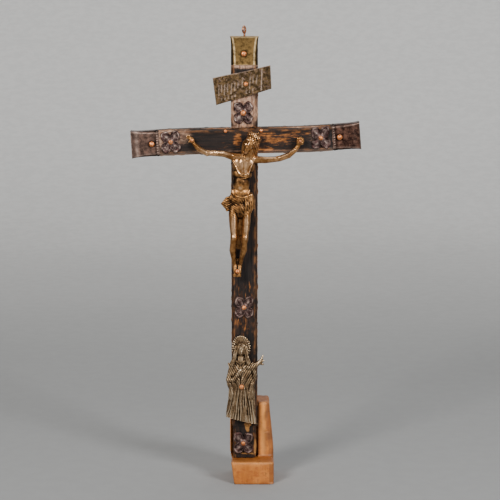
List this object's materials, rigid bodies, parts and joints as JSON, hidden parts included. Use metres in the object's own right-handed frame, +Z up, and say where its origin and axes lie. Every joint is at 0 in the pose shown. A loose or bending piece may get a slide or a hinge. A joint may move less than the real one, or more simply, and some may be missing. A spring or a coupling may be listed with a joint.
{
  "type": "mission cross",
  "caption": "Wooden hand cross with sheet-metal caps and flowers, a cast crucified figure and a standing woman nailed on, standing in a small wooden holder.",
  "frame": {"origin": "centre of the holder's underside", "axes": "+Z up along the post, -Y out of the front that bears the figures, +X to the right of that view"},
  "size_m": [0.1467, 0.0388, 0.295],
  "materials": {
    "holder_wood": "bare, hand-cut, waxed",
    "blackened_wood": "blackened, worn to orange brown along edges and grain",
    "brass": "olive gold sheet, worn bright at the edges",
    "dark_sheet": "dark brown patina, light raised edges",
    "title_brass": "olive brown patina, scratched strokes",
    "bronze": "golden brown casting, polished on high places",
    "pale_bronze": "grey brown casting, dark in the folds",
    "copper": "worn copper"
  },
  "bodies": {
    "root": {"holder_block": "holder_wood", "post": "blackened_wood", "crossbeam": "blackened_wood", "cap_top": "brass", "cap_left": "dark_sheet", "cap_right": "dark_sheet", "title_board": "title_brass", "corpus": "bronze", "standing_woman": "pale_bronze", "hanging_eye": "copper", "flower_top": "dark_sheet", "flower_middle": "dark_sheet", "flower_foot": "dark_sheet", "flower_left": "dark_sheet", "flower_right": "dark_sheet", "nail_cap_top": "copper", "nail_title": "copper", "nail_flower_top": "copper", "nail_flower_middle": "copper", "nail_flower_foot": "copper", "nail_flower_left": "copper", "nail_flower_right": "copper", "nail_cap_left": "copper", "nail_cap_right": "copper", "nail_joint_left": "copper", "nail_joint_right": "copper", "nail_hand_left": "copper", "nail_hand_right": "copper", "nail_feet": "copper", "nail_standing_woman": "copper"}
  },
  "joints": []
}
